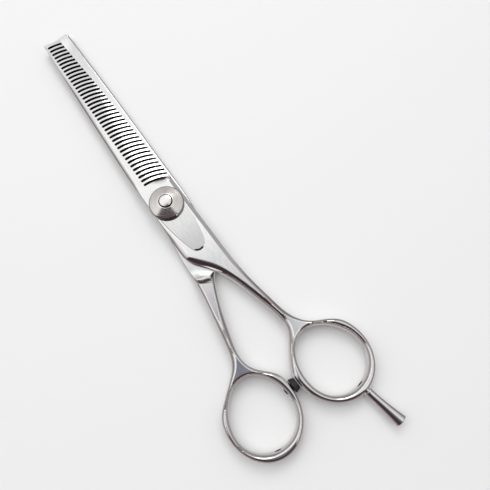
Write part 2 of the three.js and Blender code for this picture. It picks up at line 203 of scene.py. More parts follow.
def face(loops, styles, height, sign, creases=(), dense=(), least=-1e9, fill=1.5):
    """One side of a relief solid: its vertices and triangles.

    styles holds width, fall and roundness for each outline point. sign is 1 for a top, -1 for a bottom.
    creases are rows of x, y, z that the triangles follow. dense are boxes filled more finely."""
    edge = np.vstack(loops)
    width, fall, power = np.vstack(styles).T
    normal = np.vstack([inward(loop) for loop in loops])
    rim = np.maximum(height(*edge.T) - sign * fall, least)
    points = [edge]
    heights = [rim]
    tree = outline_tree(loops)
    angles = np.linspace(0, math.pi / 2, ARC_STEPS + 1)[1:]
    for number, angle in enumerate(angles):
        share = 1 - math.cos(angle)
        use = (width > THIN_BAND) | (number == len(angles) - 1)
        add_ring(points, heights, tree, edge, normal, width, rim, power, share, use, height)
    for share in BEYOND:
        add_ring(points, heights, tree, edge, normal, width, rim, power, share, width > THIN_BAND, height)
    low, high = edge.min(0), edge.max(0)
    for box, spacing in [((low[0], high[0], low[1], high[1]), fill), *dense]:
        grid = np.meshgrid(np.arange(box[0], box[1], spacing), np.arange(box[2], box[3], spacing))
        grid = np.c_[grid[0].ravel(), grid[1].ravel()]
        grid = grid[inside(grid, loops)]
        gap, near = clearance(grid, tree)
        grid = grid[gap > BEYOND[-1] * width[near] + CLEAR * spacing]
        for other, _ in dense:
            if spacing == fill:
                x, y = grid.T
                grid = grid[~((x > other[0]) & (x < other[1]) & (y > other[2]) & (y < other[3]))]
        for crease in creases:
            away = np.sqrt(((grid[:, None] - crease[None, :, :2]) ** 2).sum(2)).min(1)
            grid = grid[away > CLEAR * min(spacing, 0.8)]
        points.append(grid)
        heights.append(height(*grid.T))
    rims, links = [], []
    start = 0
    for loop in loops:
        rims.append(list(range(start, start + len(loop)))[::-1 if rims else 1])
        start += len(loop)
    start = sum(map(len, points))
    for crease in creases:
        points.append(crease[:, :2])
        heights.append(crease[:, 2])
        links += [(start + i, start + i + 1) for i in range(len(crease) - 1)]
        start += len(crease)
    flat = np.vstack(points)
    level = np.concatenate(heights)
    out = delaunay_2d_cdt([Vector(p) for p in flat.tolist()], links, rims, 0, 1e-6, True)
    source = np.array([ids[0] if ids else -1 for ids in out[3]])
    within = np.array([ids == [0] for ids in out[5]])
    triangles = source[np.array(out[2])[within]]
    triangles = triangles[(triangles >= 0).all(1)]
    a, b, c = (flat[triangles[:, i]] for i in range(3))
    turn = (b - a)[:, 0] * (c - a)[:, 1] - (b - a)[:, 1] * (c - a)[:, 0]
    triangles[turn * sign < 0] = triangles[turn * sign < 0][:, ::-1]
    return np.c_[flat, level], triangles


def add_ring(points, heights, tree, edge, normal, width, rim, power, share, use, height):
    """Adds the outline moved inwards by a share of its edge width, where nothing else is nearer."""
    rows = np.flatnonzero(use)
    moved = edge[rows] + normal[rows] * (share * width[rows])[:, None]
    gap, _ = clearance(moved, tree)
    ok = gap > 0.96 * share * width[rows]
    rows, moved = rows[ok], moved[ok]
    kept = min(share, 1.0)
    rise = (1 - (1 - kept) ** power[rows]) ** (1 / power[rows])
    points.append(moved)
    heights.append(rim[rows] + (height(*moved.T) - rim[rows]) * rise)


def relief(loops, top_styles, bottom_styles, top, bottom, top_creases=(), bottom_creases=(), dense=()):
    """A closed solid between two faces over the same outlines, as vertices and faces."""
    lower, lower_faces = face(loops, bottom_styles, bottom, -1, bottom_creases, dense)
    wall = lower[:sum(map(len, loops)), 2] + LEAST_WALL
    upper, upper_faces = face(loops, top_styles, top, 1, top_creases, dense, wall)
    faces = upper_faces.tolist() + (lower_faces + len(upper)).tolist()
    start = 0
    for loop in loops:
        n = len(loop)
        for i in range(n):
            j = (i + 1) % n
            faces.append([start + j, start + i, len(upper) + start + i, len(upper) + start + j])
        start += n
    return np.vstack([upper, lower]), faces


def build(name, vertices, faces):
    """A smooth-shaded object in metres, from vertices in millimetres."""
    mesh = bpy.data.meshes.new(name)
    mesh.from_pydata((np.asarray(vertices) * MM).tolist(), [], faces)
    tidy = bmesh.new()
    tidy.from_mesh(mesh)
    loose = [v for v in tidy.verts if not v.link_faces]
    bmesh.ops.delete(tidy, geom=loose, context="VERTS")
    bmesh.ops.recalc_face_normals(tidy, faces=tidy.faces)
    tidy.to_mesh(mesh)
    tidy.free()
    return finished(name, mesh)


def finished(name, mesh):
    """Smooth-shades a mesh, with sharp edges kept, and puts it in the scene."""
    mesh.polygons.foreach_set("use_smooth", [True] * len(mesh.polygons))
    mesh.set_sharp_from_angle(angle=SHARP)
    piece = bpy.data.objects.new(name, mesh)
    bpy.context.scene.collection.objects.link(piece)
    return piece


def part(piece, name, x, keep_above):
    """A copy of a piece cut square across at x, closed with a flat cap."""
    cut = bmesh.new()
    cut.from_mesh(piece.data)
    geometry = cut.verts[:] + cut.edges[:] + cut.faces[:]
    side = -1 if keep_above else 1
    result = bmesh.ops.bisect_plane(cut, geom=geometry, dist=1e-8, plane_co=(x * MM, 0, 0),
                                    plane_no=(side, 0, 0), clear_outer=True)
    rim = [e for e in result["geom_cut"] if isinstance(e, bmesh.types.BMEdge)]
    bmesh.ops.contextual_create(cut, geom=rim)
    bmesh.ops.recalc_face_normals(cut, faces=cut.faces)
    mesh = bpy.data.meshes.new(name)
    cut.to_mesh(mesh)
    cut.free()
    return finished(name, mesh)


# ---- Toothed half ----------------------------------------------------------------------------

FINGER_RING = (-66.9, -11.1, 13.2, 11.7, 15)
FINGER_HOLE = (-66.6, -11.1, 11.05, 9.5, 15)
THUMB_RING = (-66.95, 14.15, 13.15, 11.35, -9)
THUMB_HOLE = (-66.65, 14.15, 10.9, 9.4, -9)
HOLE_EGG = 0.12
COMB_WELD_X = -24
PLAIN_WELD_X = -21
SLOTS = 40
SLOT_X = 9.2
SLOT_PITCH = 1.555
SLOT_HALF = 0.375
SLOT_END_Y = 2.25                # closed end of the first slot
SLOT_END_DROP = 1.65             # how much nearer the tip line the last slot ends
SLOT_OPEN_Y = -7.2               # beyond the tooth tips
SLOT_BOW_FIRST = 2.7             # how far a slot leans back at SLOT_OPEN_Y
SLOT_BOW_LAST = 1.62
TOOTH_ROOT = 0.45                # the teeth fall away from this far above the slots' ends
TOOTH_FALL = 0.0298
PAST_SLOTS_Y = 2.6               # just past the closed ends of the slots
LENS_BLEND = 1.2                 # width of the ground facet beside the first slot
TIP_LINE = ((6.3, 25, 50, 70.3), (-6.1, -6.0, -5.3, -4.33))
CROWN_LOW_X = -4                 # the crown rises from the seat between these
CROWN_HIGH_X = -23
HEEL_X = -29.5                   # the heel's face crosses y = HEEL_Y here and leans from there
HEEL_Y = 3
HEEL_LEAN = 7.5 / 11
HEEL_FACE = 0.5


def ramp(t):
    """Smooth rise from 0 to 1."""
    t = np.clip(t, 0, 1)
    return t * t * (3 - 2 * t)


def styled(points, style):
    """Points with an edge style on each."""
    return [[x, y, *style] for x, y in points]


def hole_loop(hole, style):
    """A ring's opening, clockwise, so that the solid is on its left."""
    count = int(2 * math.pi * hole[2] / STEP)
    xy = ellipse(hole, np.linspace(0, -360, count, endpoint=False), HOLE_EGG)
    return np.array(styled(xy, style))


def slot_end(share):
    """How far a slot reaches in y, for its share of the way to the tip."""
    return SLOT_END_Y - SLOT_END_DROP * share ** 1.4


def slot_walls(index):
    """Rows up one wall of a slot, round its closed end, and down the other wall to the tooth tips."""
    share = index / (SLOTS - 1)
    x = SLOT_X + index * SLOT_PITCH
    end_y = slot_end(share) - SLOT_HALF
    bow = SLOT_BOW_FIRST + (SLOT_BOW_LAST - SLOT_BOW_FIRST) * share
    walls = []
    for side in (-1, 1):
        t = np.linspace(0, 1, 33)
        wall_x = x + side * SLOT_HALF - bow * t * t
        wall_y = end_y + t * (SLOT_OPEN_Y - end_y)
        tip_y = np.interp(wall_x, *TIP_LINE)
        stop = np.argmax(wall_y < tip_y)
        part_way = (wall_y - tip_y)[stop - 1] / ((wall_y - tip_y)[stop - 1] - (wall_y - tip_y)[stop])
        last = np.array([np.interp(part_way, (0, 1), wall_x[stop - 1:stop + 1]),
                         np.interp(part_way, (0, 1), wall_y[stop - 1:stop + 1])])
        walls.append(np.vstack([np.c_[wall_x[:stop], wall_y[:stop]], last]))
    angles = np.linspace(math.pi, 0, 11)[1:-1]
    end = np.c_[x + SLOT_HALF * np.cos(angles), end_y + SLOT_HALF * np.sin(angles)]
    return np.vstack([walls[0][::-1], end, walls[1]])


def comb_loops():
    """Outlines of the toothed half: tip, spine, finger shank, ring and teeth, and the ring's opening."""
    tip_x = COMB_TIP
    nose = np.vstack([straight((tip_x - 0.8, -4.3), (tip_x - 0.7, -3.0), CRISP),
                      straight((tip_x - 0.7, -3.0), (tip_x, 1.1), CRISP)])
    ring = ellipse(FINGER_RING, np.arange(63, 289, 15))
    body = smooth([
        *styled([(tip_x, 1.1)], TIP_CORNER), *styled([(60, 2.0)], SPINE_TIP),
        *styled([(50, 2.7), (37, 3.55), (25, 4.3), (12, 5)], SPINE),
        *styled([(7.5, 5.1), (0, 5.2), (-4, 5.3)], LAND),
        *styled([(-8, 5.5)], LAND_END), *styled([(-12, 5.7)], FLANK_START),
        *styled([(-15, 5.8), (-18.5, 5.4), (-21.5, 3.5), (-26, 0.2)], FLANK),
        *styled([(-31, -2.2), (-38, -4.2), (-45, -5.9), (-50, -6.7), (-53, -6.3), (-56.5, -3.9)], SHANK),
        *styled([(-60.5, -1.1), *ring], RING),
        *styled([(-57, -16.9), (-54.8, -13), (-52.5, -10.9)], WEB),
        *styled([(-49, -9.2)], SHANK), *styled([(-42, -7.7), (-34, -6.5)], BEVEL),
        *styled([(-26, -6), (-15, -6), (-5, -6.05), (6.3, -6.1)], BELLY)])
    teeth = [[6.3, -6.1]]
    for index in range(SLOTS):
        walls = slot_walls(index)
        start, end = teeth[-1], walls[0]
        between = np.linspace(start, end, 5)[1:-1]
        between[:, 1] = np.interp(between[:, 0], *TIP_LINE)
        teeth += between.tolist() + walls.tolist()
    teeth = np.array(styled(teeth[1:], CRISP))
    return [np.vstack([nose, body[:-1], [[6.3, -6.1, *BELLY]], teeth]), hole_loop(FINGER_HOLE, RING)]


def heel_line(y):
    """Where the flat inner face ends, as x at y."""
    return HEEL_X + HEEL_LEAN * (HEEL_Y - y)


def heel(x, y):
    """1 on the blade, where the underside is the flat inner face, and 0 on the handle."""
    return ramp((x - heel_line(y)) / HEEL_FACE + 0.5)


def seat_line():
    """Edge of the milled tongue behind the dial, from its open end at -Y round to +Y."""
    return smooth([(-1.5, -4.75), (-4, -4.6), (-9, -4.2), (-14, -3.3), (-17.0, -2.3), (-18.2, -0.9),
                   (-18.3, 0.4), (-17.5, 1.7), (-16, 2.35), (-14, 2.9), (-9, 3.9), (-4, 4.5), (-1.5, 4.7)],
                  0.15, 0.3)


def comb_half():
    """The toothed half in one, the places painted with shade, and the outline of the milled seat."""
    loops = comb_loops()
    outlines = [loop[:, :2] for loop in loops]
    seat = seat_line()
    seat_area = [np.vstack([seat, [[3, 4.9], [30, 4.9], [30, -8], [3, -8]]])]

    def crown(x):
        return SEAT + (BODY_TOP - SEAT) * ramp((CROWN_LOW_X - x) / (CROWN_LOW_X - CROWN_HIGH_X))

    def top(x, y):
        points = np.c_[x, y]
        milled = inside(points, seat_area)
        z = np.where(milled, SEAT, crown(x))
        flat = SEAT - (SEAT - TIP_TOP) * (x - GRIND_X) / (COMB_TIP - GRIND_X)
        z = np.where(x > GRIND_X, flat, z)
        share = np.clip((x - SLOT_X) / (SLOTS * SLOT_PITCH), 0, 1)
        depth = np.maximum(slot_end(share) + TOOTH_ROOT - y, 0)
        return z - TOOTH_FALL * depth ** 1.6 * ramp((x - lens_x(y)) / LENS_BLEND)

    def bottom(x, y):
        return MATE_HIGH * heel(x, y)

    # The seat's wall is steep at the sides and leans back at its closed end. A guard row on each
    # side of it keeps the painted shade from spreading.
    wall = (0.07 + 0.6 * ramp((-16.9 - seat[:, 0]) / 0.8))[:, None]
    guard = 0.06
    edge_z = crown(seat[:, 0])
    creases = []
    for offset, level in ((-guard, edge_z), (0, edge_z), (0.5 * wall, (edge_z + SEAT) / 2), (wall, SEAT),
                          (wall + guard, SEAT)):
        creases.append(np.column_stack([seat + offset * inward_open(seat), np.full(len(seat), level)]))
    # Painted shade on the seat's wall, darkest on its +Y side and at its closed end.
    painted_shade = ramp((seat[:, 1] + 1.6) / 0.8) * ramp((-1.5 - seat[:, 0]) / 3)
    marks = [np.c_[crease[:, :2], painted_shade] for crease in creases[1:4]]
    lens_y = np.linspace(2.55, -5.2, 30)
    lens_edge = np.c_[lens_x(lens_y), lens_y, np.full(30, SEAT)]
    heel_y = np.linspace(-1.2, -5.4, 12)
    heel_top = np.c_[heel_line(heel_y) + HEEL_FACE / 2, heel_y, np.full(12, MATE_HIGH)]
    heel_low = np.c_[heel_line(heel_y) - HEEL_FACE / 2, heel_y, np.zeros(12)]
    tops = [loop[:, 2:] for loop in loops]
    bottoms = []
    for loop in loops:
        ahead = heel(*loop[:, :2].T)[:, None]
        bottoms.append(ahead * np.array(HEEL_EDGE) + (1 - ahead) * np.array(RING))
    dense = [((-32, -15, -7.5, 6.5), 0.7)]
    whole = build("comb_half", *relief(outlines, tops, bottoms, top, bottom, [*creases, lens_edge],
                                       [heel_top, heel_low], dense))
    x, y = outlines[0].T
    toothed = (x > GRIND_X) & (x < COMB_TIP - 0.8) & (y < PAST_SLOTS_Y)
    # The slots' walls are painted fully dark as shade.
    slots = outlines[0][toothed & (y > np.interp(x, *TIP_LINE) + 0.02)]
    marks.append(np.c_[slots, np.ones(len(slots))])
    return whole, np.vstack(marks), seat_area[0]


def lens_x(y):
    """Edge of the ground facet beside the first slot."""
    down = PAST_SLOTS_Y - y
    return 8.6 - 0.467 * down + 0.0294 * down ** 2


def inward_open(line):
    """Normals on the right of an open line."""
    d = np.gradient(line, axis=0)
    d /= np.hypot(*d.T)[:, None]
    return -np.c_[-d[:, 1], d[:, 0]]


# ---- Plain half ------------------------------------------------------------------------------

EDGE_START = (9, 2.7)            # the plain blade's cutting edge, at the pivot end
EDGE_SLOPE = -0.038
GRIND_BLEND = 4                  # length over which a grind starts or stops
BEVEL_LIP = 0.15                 # the bevel starts this far under the inner face, at the cutting edge
BEVEL_SLOPE = 0.3
BEVEL_X = 9.5                    # from here towards the pivot the bevel runs out of the blade
BEVEL_RUN_OUT = 3
BEVEL_LEAST_X = 5
HOLLOW_MIDDLE = 4.6              # the inner face is ground hollow, this far behind the edge
HOLLOW_HALF = 3.3
HOLLOW_DEPTH = 0.5
HOLLOW_END_X = 71
STEP_POWER = 2.2
STEP_Y = (1, 3, 5, 7, 8)         # where the hollow step's foot and crest cross the shank
STEP_FOOT_X = (-25.4, -23.2, -21.6, -21.2, -21.2)
STEP_CREST_X = (-29.3, -28.9, -27.6, -26.2, -25.9)
BACK_RUN_OUT = 12                # over which the back falls to the resting surface, ending here
BACK_END_X = -33


def plain_loops():
    """Outlines of the plain half: tip, cutting edge, thumb shank, ring and back, and the ring's opening."""
    tip_x = PLAIN_TIP
    corner = np.radians(np.linspace(-90, -5, 9))
    nose = np.c_[tip_x - 1.0 + np.cos(corner), -7.0 + np.sin(corner)]
    nose = np.vstack([even(np.vstack([nose, [[tip_x - 0.6, 0.3]]]), STEP)[:-1],
                      straight((tip_x - 0.6, 0.3), EDGE_START, ())])
    ring = ellipse(THUMB_RING, np.arange(73, 307, 15.5))
    body = smooth([
        *styled([EDGE_START, (5, 4.2), (0, 4.9), (-10, 5.7), (-17, 6.6), (-22, 6.95)], LAND),
        *styled([(-26, 7.25)], STEP_SIDE), *styled([(-30, 7.8), (-36, 8.95)], NARROW),
        *styled([(-42, 10.2), (-48, 11.5), (-51.5, 13.1)], SHANK), *styled([(-54.5, 16.3)], WEB),
        *styled([(-58, 20.8), *ring, (-57.5, 6.9)], RING), *styled([(-54, 9.3), (-50, 9.75)], WEB),
        *styled([(-45, 8.6), (-40, 7.1)], SHANK), *styled([(-35, 5.4), (-31, 3.7)], NARROW),
        *styled([(-28, 2.2)], STEP_SIDE),
        *styled([(-25, 0.0), (-19, -3.6), (-10, -5.7), (0, -6.8)], LAND),
        *styled([(10, -7.1), (40, -7.75), (tip_x - 1.0, -8)], BACK)])
    nose = np.array(styled(nose, CRISP))
    return [np.vstack([nose, body[:-1]]), hole_loop(THUMB_HOLE, RING)]


def step_share(x, y):
    """0 on the flat inner face, rising to 1 at the sharp line where the shank's crown begins."""
    foot = np.interp(y, STEP_Y, STEP_FOOT_X)
    crest = np.interp(y, STEP_Y, STEP_CREST_X)
    return np.clip((foot - x) / (foot - crest), 0, 1)


def cutting_edge(x):
    """The plain blade's straight edge, as y at x."""
    return EDGE_START[1] + EDGE_SLOPE * (x - EDGE_START[0])


def plain_half():
    """The plain half in one."""
    loops = plain_loops()
    outlines = [loop[:, :2] for loop in loops]

    def top(x, y):
        behind = cutting_edge(x) - HOLLOW_MIDDLE - y
        hollow = np.clip(1 - (behind / HOLLOW_HALF) ** 2, 0, 1)
        hollow *= ramp((x - GRIND_X) / GRIND_BLEND) * ramp((HOLLOW_END_X - x) / GRIND_BLEND)
        step = (BODY_TOP - MATE_LOW) * step_share(x, y) ** STEP_POWER
        return MATE_LOW - HOLLOW_DEPTH * hollow + step

    def bottom(x, y):
        share = np.clip((x - GRIND_X) / (PLAIN_TIP - GRIND_X), 0, 1)
        back = BLADE_BACK + (PLAIN_TIP_BACK - BLADE_BACK) * share
        bevel = MATE_LOW - BEVEL_LIP + BEVEL_SLOPE * (y - cutting_edge(x))
        bevel -= BEVEL_RUN_OUT * ramp((BEVEL_X - x) / GRIND_BLEND)
        back = np.where(x > BEVEL_LEAST_X, np.maximum(back, bevel), back)
        return back * ramp((x - BACK_END_X) / BACK_RUN_OUT)

    crest_y = np.linspace(2.9, 7.0, 24)
    crest_x = np.interp(crest_y, STEP_Y, STEP_CREST_X)
    foot_y = np.linspace(0.6, 6.6, 24)
    foot_x = np.interp(foot_y, STEP_Y, STEP_FOOT_X)
    crest = np.c_[crest_x, crest_y, np.full(24, BODY_TOP)]
    foot = np.c_[foot_x, foot_y, np.full(24, MATE_LOW)]
    tops = [loop[:, 2:] for loop in loops]
    bottoms = []
    for loop in loops:
        ahead = ramp((loop[:, 0] + 31) / 8)[:, None]
        bottoms.append(ahead * np.array(UNDER_EDGE) + (1 - ahead) * np.array(RING))
    x, y = outlines[0].T
    bottoms[0][(x > EDGE_START[0] - 0.5) & (y > 0)] = CUTTING
    dense = [((-33, -18, -4, 9), 0.55), ((4, 14, -8, 5), 0.7)]
    return build("plain_half", *relief(outlines, tops, bottoms, top, bottom, [crest, foot], [], dense))


# ---- Round pieces ----------------------------------------------------------------------------

def rounded(profile, radius=0.06, steps=4):
    """A lathe profile with each inner corner turned into a small arc."""
    points = [Vector(p) for p in profile]
    result = [points[0]]
    for before, here, after in zip(points, points[1:], points[2:]):
        reach = min(radius, 0.45 * (before - here).length, 0.45 * (after - here).length)
        start = here + (before - here).normalized() * reach
        end = here + (after - here).normalized() * reach
        for i in range(steps + 1):
            t = i / steps
            result.append((1 - t) ** 2 * start + 2 * t * (1 - t) * here + t * t * end)
    return [*result, points[-1]]


def turned(name, profile, place=None, sides=128, radius=0.06):
    """A lathe piece about +Z, from rows of radius and height that start and end on the axis."""
    rows = rounded(profile, radius)
    closed = rows[0].x > 1e-6
    rings = rows if closed else rows[1:-1]
    around = np.linspace(0, 2 * math.pi, sides, endpoint=False)
    vertices = [(r * math.cos(a), r * math.sin(a), z) for r, z in rings for a in around]
    faces = []
    pairs = len(rings) if closed else len(rings) - 1
    for row in range(pairs):
        following = (row + 1) % len(rings)
        for i in range(sides):
            j = (i + 1) % sides
            faces.append((row * sides + i, row * sides + j, following * sides + j, following * sides + i))
    if not closed:
        low, high = len(vertices), len(vertices) + 1
        vertices += [(0, 0, rows[0].y), (0, 0, rows[-1].y)]
        last = (len(rings) - 1) * sides
        faces += [(low, (i + 1) % sides, i) for i in range(sides)]
        faces += [(high, last + i, last + (i + 1) % sides) for i in range(sides)]
    if place is not None:
        vertices = [place @ Vector(v) for v in vertices]
    return build(name, vertices, faces)


def apply_cut(piece, cutters):
    """Subtracts closed cutters from a piece for good."""
    for cutter in cutters:
        modifier = piece.modifiers.new("cut", "BOOLEAN")
        modifier.operation = "DIFFERENCE"
        modifier.solver = "EXACT"
        modifier.object = cutter
    graph = bpy.context.evaluated_depsgraph_get()
    mesh = bpy.data.meshes.new_from_object(piece.evaluated_get(graph))
    piece.modifiers.clear()
    old = piece.data
    piece.data = mesh
    mesh.name = piece.name
    bpy.data.meshes.remove(old)
    for cutter in cutters:
        bpy.data.objects.remove(cutter)
    mesh.set_sharp_from_angle(angle=SHARP)


def across(x, y, degrees, z=RING_MID):
    """Placement of a lathe's axis in the plane of the rings, at an angle from +X."""
    return Matrix.Translation((x, y, z)) @ Matrix.Rotation(math.radians(degrees), 4, "Z") \
        @ Matrix.Rotation(math.pi / 2, 4, "Y")


def drill(x, y, degrees, radius, length):
    """A cutter for a round hole across a ring's wall."""
    half = length / 2
    profile = [(0, -half), (radius, -half), (radius, half), (0, half)]
    return turned("drill", profile, across(x, y, degrees), 32, 0.01)


def dial():
    """A shallow cone with a groove round the stud, and a small notch on its rim."""
    piece = turned("dial", [
        (1.95, 5.9), (4.25, 5.9), (4.25, 5.02), (DIAL_R - 0.22, 5.02), (DIAL_R, 5.22), (DIAL_R, 5.8),
        (DIAL_R - 0.08, 6.05), (DIAL_R - 0.35, 6.27), (2.42, 7.53), (2.24, 7.55),
        (2.13, 7.44), (2.13, 7.0), (1.95, 6.95)], sides=192, radius=0.09)
    notch = turned("notch", [(0, -1), (0.3, -1), (0.3, 1), (0, 1)],
                   across(-DIAL_R - 0.02, -0.42, 0, 6.15), 24, 0.01)
    apply_cut(piece, [notch])
    return piece


def screw():
    """Head at the back, neck, journal, thread and a flat-domed end."""
    return turned("pivot_stud", [
        (0, 0.02), (3.3, 0.02), (3.62, 0.03), (4.05, 0.3), (4.1, 0.43), (1.9, 0.43), (1.9, 2.2),
        (2.2, 2.2), (2.2, 4.95), (1.75, 4.95), (1.75, 7.0), (1.88, 7.02), (1.88, 7.86), (1.82, 7.95),
        (1.3, 8.04), (0.75, 8.08), (0, STUD_TOP)])


def rubber_stop():
    """The silencer between the rings, with its stem through the thumb ring."""
    place = Matrix.Translation((-66.2, 0, RING_MID)) @ Matrix.Rotation(-math.pi / 2, 4, "X")
    return turned("silencer", [
        (0, 0.86), (1.5, 0.88), (1.72, 1.02), (1.86, 1.4), (2.14, 2.3), (2.18, 2.52), (2.1, 2.62),
        (1.0, 2.62), (1.0, 4.95), (0.7, 5.2), (0, 5.24)], place, 96, 0.14)


REST_ANGLE = 180 + 10.7          # the finger rest's direction, in degrees from +X


def horn():
    """The finger rest: threaded stud, collar and flared horn."""
    return turned("rest_horn", [
        (0, -1.75), (0.8, -1.75), (0.95, -1.6), (0.95, 0.1), (1.26, 0.12), (1.3, 0.22), (1.3, 0.42),
        (1.2, 0.6), (1.16, 0.9), (1.15, 2.2), (1.2, 4.0), (1.29, 6.0), (1.43, 8.0), (1.62, 10.0),
        (1.82, 11.7), (1.86, 12.02), (1.72, 12.18), (0, 12.2)], across(-80.25, -13.9, REST_ANGLE), 96, 0.1)


# ---- Materials -------------------------------------------------------------------------------

def shader(name, color, metallic, roughness, **sockets):
    """A new node material, its node tree and its surface node."""
    material = bpy.data.materials.new(name)
    material.use_nodes = True
    tree = material.node_tree
    surface = tree.nodes["Principled BSDF"]
    surface.inputs["Base Color"].default_value = (*color, 1)
    surface.inputs["Metallic"].default_value = metallic
    surface.inputs["Roughness"].default_value = roughness
    for socket, value in sockets.items():
        surface.inputs[socket.replace("_", " ")].default_value = value
    return material, tree, surface


def add(tree, kind, inputs=None, **settings):
    """Adds a node; inputs gives each socket a value or another node's output."""
    node = tree.nodes.new(kind)
    for key, value in settings.items():
        setattr(node, key, value)
    for key, value in (inputs or {}).items():
        if isinstance(value, bpy.types.NodeSocket):
            tree.links.new(value, node.inputs[key])
        else:
            node.inputs[key].default_value = value
    return node


def math_node(tree, operation, *values):
    """The result of a math node."""
    node = add(tree, "ShaderNodeMath", dict(enumerate(values)), operation=operation)
    return node.outputs[0]


def spread(tree, value, low, high, new_low, new_high):
    """A value moved from one range to another."""
    node = add(tree, "ShaderNodeMapRange", {0: value, 1: low, 2: high, 3: new_low, 4: new_high})
    return node.outputs[0]


def graded(tree, value, colors):
    """A colour from rows of position and colour."""
    node = add(tree, "ShaderNodeValToRGB", {"Fac": value})
    stops = node.color_ramp.elements
    while len(stops) < len(colors):
        stops.new(0.5)
    for stop, (position, color) in zip(stops, colors):
        stop.position = position
        stop.color = (*color, 1)
    return node.outputs[0]


def blend(tree, factor, first, second):
    """A mix of two colours, each a row of three or a node's output."""
    inputs = {"Factor": factor}
    for socket, color in ((6, first), (7, second)):
        inputs[socket] = color if isinstance(color, bpy.types.NodeSocket) else (*color, 1)
    return add(tree, "ShaderNodeMix", inputs, data_type="RGBA").outputs[2]


def smooth_step(tree, value, low, high):
    """0 below one value, 1 above the other and smooth between."""
    node = add(tree, "ShaderNodeMapRange", {0: value, 1: low, 2: high}, interpolation_type="SMOOTHSTEP")
    return node.outputs[0]


def noise(tree, vector, scale, detail=3.0, stretch=(1, 1, 1)):
    """Noise from 0 to 1, finer along an axis that is stretched more."""
    mapping = add(tree, "ShaderNodeMapping", {"Vector": vector, "Scale": stretch})
    inputs = {"Vector": mapping.outputs[0], "Scale": scale, "Detail": detail}
    return add(tree, "ShaderNodeTexNoise", inputs).outputs[0]


def bump(tree, height, distance, strength=1.0, normal=None):
    """A normal tilted by a height, over another normal if one is given."""
    inputs = {"Height": height, "Distance": distance, "Strength": strength}
    if normal is not None:
        inputs["Normal"] = normal
    return add(tree, "ShaderNodeBump", inputs).outputs[0]


# Painted shade for the seat's wall and the slots.
PAINTED_SHADE = (0.035, 0.026, 0.022)
MILLED = (0.35, 0.34, 0.34)
# Painted shade in the dial's groove and on its rim.
GROOVE_SHADE = (0.03, 0.024, 0.022)
GROOVE_SHADE_EDGE = (0.00213, 0.0022)  # the dial's painted shade ends and starts between these radii, in metres
# The dial's painted rim shade starts between these radii, in metres.
RIM_SHADE_EDGE = (0.00515, 0.00535)


def darker(tint, share):
    """A colour scaled down to a share of itself."""
    return [c * share for c in tint]


def polished(name, tint, grain=(1, 14, 14), scratch=0.06, wave=0.5):
    """Hand-buffed stainless steel: fine scratches, faint hollows, a satin seat and painted shade in corners
    and slots.
    """
    material, tree, surface = shader(name, tint, 1.0, 0.09)
    where = add(tree, "ShaderNodeTexCoord").outputs["Object"]
    fine = noise(tree, where, 900, 2, grain)
    broad = noise(tree, where, 160, 2)
    haze = noise(tree, where, 420, 4, (1, 3, 3))
    painted_shade = add(tree, "ShaderNodeAttribute", attribute_name="painted_shade").outputs["Fac"]
    satin = add(tree, "ShaderNodeAttribute", attribute_name="satin").outputs["Fac"]
    shade = blend(tree, spread(tree, haze, 0.35, 0.7, 0, 1), tint, darker(tint, 0.93))
    shade = blend(tree, math_node(tree, "MULTIPLY", satin, 0.4), shade, MILLED)
    # Painted shade darkens the colour wherever the painted shade attribute is set.
    shade = blend(tree, painted_shade, shade, PAINTED_SHADE)
    rough = spread(tree, haze, 0.3, 0.75, 0.07, 0.15)
    rough = math_node(tree, "MULTIPLY_ADD", painted_shade, 0.35, rough)
    rough = math_node(tree, "MULTIPLY_ADD", satin, 0.13, rough)
    tree.links.new(shade, surface.inputs["Base Color"])
    tree.links.new(rough, surface.inputs["Roughness"])
    scratches = bump(tree, fine, 0.00001, scratch)
    tree.links.new(bump(tree, broad, 0.00006, wave, scratches), surface.inputs["Normal"])
    return material


def spun(name, tint, middle, low, high, strength):
    """Lathe-turned steel: fine rings round the axis through middle, with a satin sheen across them.

    The groove round the stud and the rim are painted dark as shade."""
    material, tree, surface = shader(name, tint, 1.0, low)
    where = add(tree, "ShaderNodeTexCoord").outputs["Object"]
    away = add(tree, "ShaderNodeVectorMath", {0: where, 1: middle}, operation="SUBTRACT").outputs[0]
    parts = add(tree, "ShaderNodeSeparateXYZ", {0: away})
    squares = [math_node(tree, "POWER", parts.outputs[axis], 2.0) for axis in (0, 1)]
    radius = math_node(tree, "SQRT", math_node(tree, "ADD", *squares))
    ring = add(tree, "ShaderNodeCombineXYZ", {0: radius, 1: parts.outputs[2]})
    rings = noise(tree, ring.outputs[0], 9000, 3)
    clouds = noise(tree, where, 500, 3)
    shade = blend(tree, spread(tree, rings, 0.3, 0.7, 0, 1), tint, darker(tint, 0.8))
    rough = math_node(tree, "ADD", spread(tree, rings, 0.3, 0.7, low, high),
                      spread(tree, clouds, 0.3, 0.7, 0, 0.05))
    # Painted shade: the rim darkens outwards, and the groove round the stud is dark.
    rim = math_node(tree, "MULTIPLY", 0.7, smooth_step(tree, radius, *RIM_SHADE_EDGE))
    unshaded = math_node(tree, "MULTIPLY", smooth_step(tree, radius, *GROOVE_SHADE_EDGE),
                      math_node(tree, "SUBTRACT", 1.0, rim))
    shade = blend(tree, unshaded, GROOVE_SHADE, shade)
    tree.links.new(shade, surface.inputs["Base Color"])
    tree.links.new(rough, surface.inputs["Roughness"])
    tree.links.new(bump(tree, rings, 0.00002, strength), surface.inputs["Normal"])
    surface.inputs["Anisotropic"].default_value = 0.65
    surface.inputs["Anisotropic Rotation"].default_value = 0.25
    tangent = add(tree, "ShaderNodeTangent", direction_type="RADIAL", axis="Z")
    tree.links.new(tangent.outputs[0], surface.inputs["Tangent"])
    return material


